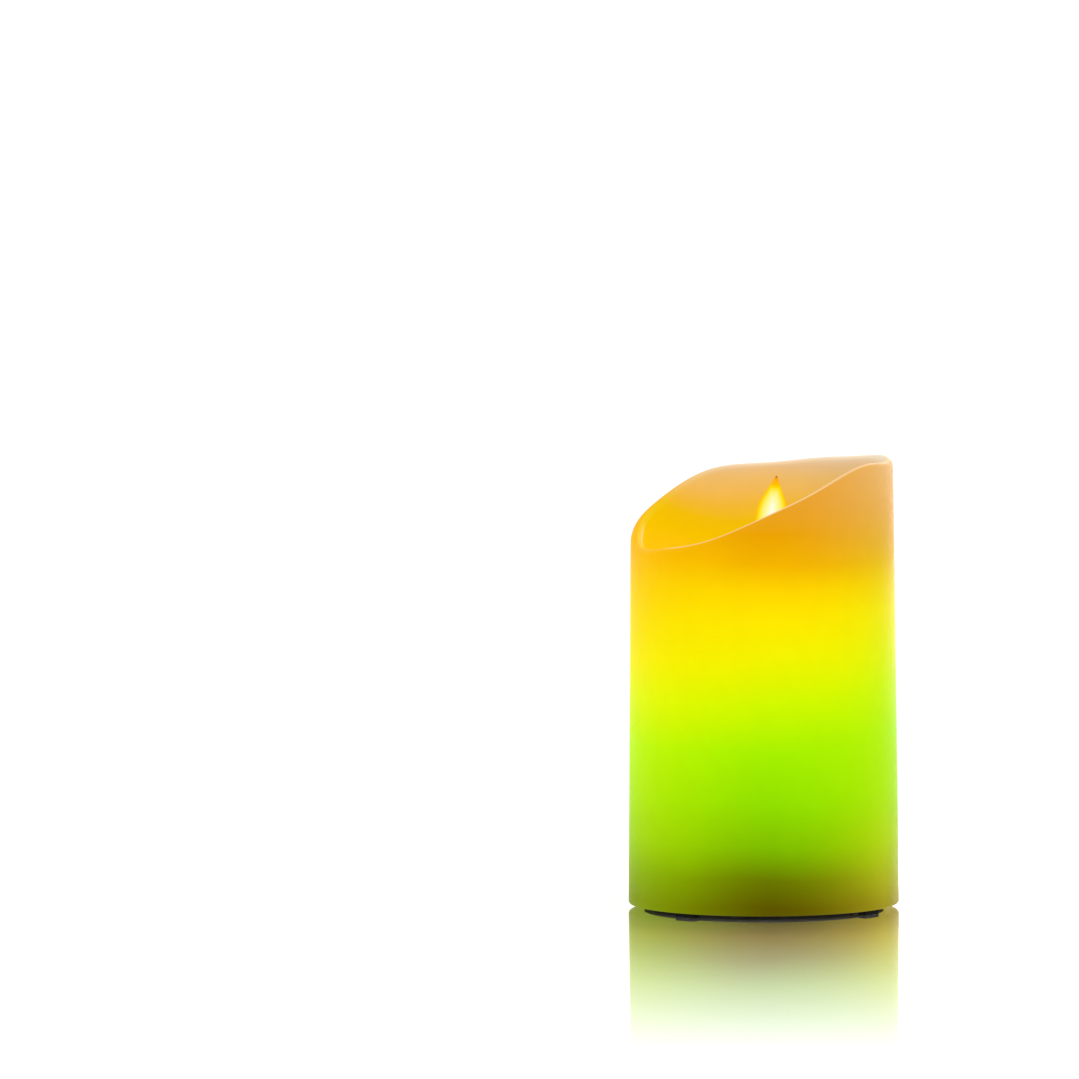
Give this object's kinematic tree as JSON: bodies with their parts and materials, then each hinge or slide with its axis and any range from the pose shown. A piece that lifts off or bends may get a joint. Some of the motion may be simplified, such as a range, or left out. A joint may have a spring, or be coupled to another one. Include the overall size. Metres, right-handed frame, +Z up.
{
  "type": "flameless led candle",
  "caption": "Flameless pillar candle with a waved wax rim, swaying flame blade, coloured inner light, slide switch and battery door underneath.",
  "frame": {"origin": "middle of the face the candle stands on, at table height", "axes": "+Z up along the candle's axis, -Y towards the front, the rim is highest towards +X"},
  "size_m": [0.076, 0.076, 0.1266],
  "materials": {
    "wax": "satin translucent wax, lit from inside",
    "ivory_plastic": "fine moulded texture",
    "hot_melt": "glossy glue",
    "flame_film": "translucent film, lit",
    "magnet_metal": "nickel plated",
    "steel_wire": "drawn wire",
    "screw_steel": "zinc plated",
    "led_lens": "clear epoxy, lit",
    "black_plastic": "fine moulded texture",
    "copper_wire": "enamelled copper wire",
    "foot_rubber": "matt",
    "cell_sleeve": "plain printed sleeve",
    "contact_metal": "nickel plated",
    "board": "solder mask",
    "capacitor_sleeve": "shrunk sleeve",
    "white_plastic": "moulded nylon",
    "red_insulation": "soft insulation",
    "yellow_insulation": "soft insulation",
    "white_insulation": "soft insulation"
  },
  "bodies": {
    "root": {"wax_shell": "wax", "crater_plate": "ivory_plastic", "glue_beads": "hot_melt", "pivot_wire": "steel_wire", "flame_housing_front": "ivory_plastic", "flame_housing_rear": "ivory_plastic", "housing_screws": "screw_steel", "plate_screws": "screw_steel", "flame_led": "led_lens", "coil_bobbin": "black_plastic", "coil_winding": "copper_wire", "base_housing": "black_plastic", "foot_pads": "foot_rubber", "battery_1": "cell_sleeve", "battery_2": "cell_sleeve", "battery_3": "cell_sleeve", "battery_springs": "contact_metal", "contact_plates": "contact_metal", "switch_body": "contact_metal", "switch_screws": "screw_steel", "main_pcb": "board", "pcb_screws": "screw_steel", "control_chip": "black_plastic", "rgb_leds": "led_lens", "electrolytic_capacitor": "capacitor_sleeve", "ir_receiver": "black_plastic", "chip_parts": "black_plastic", "wire_plugs": "white_plastic", "battery_wires": "red_insulation", "switch_wires": "yellow_insulation", "flame_led_wires": "red_insulation", "coil_wires": "white_insulation"},
    "flame": {"flame_blade": "flame_film", "blade_magnet": "magnet_metal"},
    "door": {"battery_door": "black_plastic"},
    "latch": {"door_latch": "black_plastic"},
    "knob": {"switch_knob": "black_plastic"}
  },
  "joints": [
    {"name": "flame_swing", "type": "hinge", "parent": "root", "child": "flame", "pos_m": [0, 0, 0.091], "axis": [0, 1, 0], "range_deg": [-23.3, 7.7]},
    {"name": "battery_door_hinge", "type": "hinge", "parent": "root", "child": "door", "pos_m": [-0.02335, 0, 0.00275], "axis": [0, 1, 0], "range_deg": [0, 75]},
    {"name": "latch_flex", "type": "hinge", "parent": "door", "child": "latch", "pos_m": [0.0224, 0, 0.0046], "axis": [0, 1, 0], "range_deg": [0, 12], "stiffness_Nm_per_rad": 0.01},
    {"name": "switch_slide", "type": "slide", "parent": "root", "child": "knob", "axis": [1, 0, 0], "range_m": [-0.002, 0.002]}
  ]
}
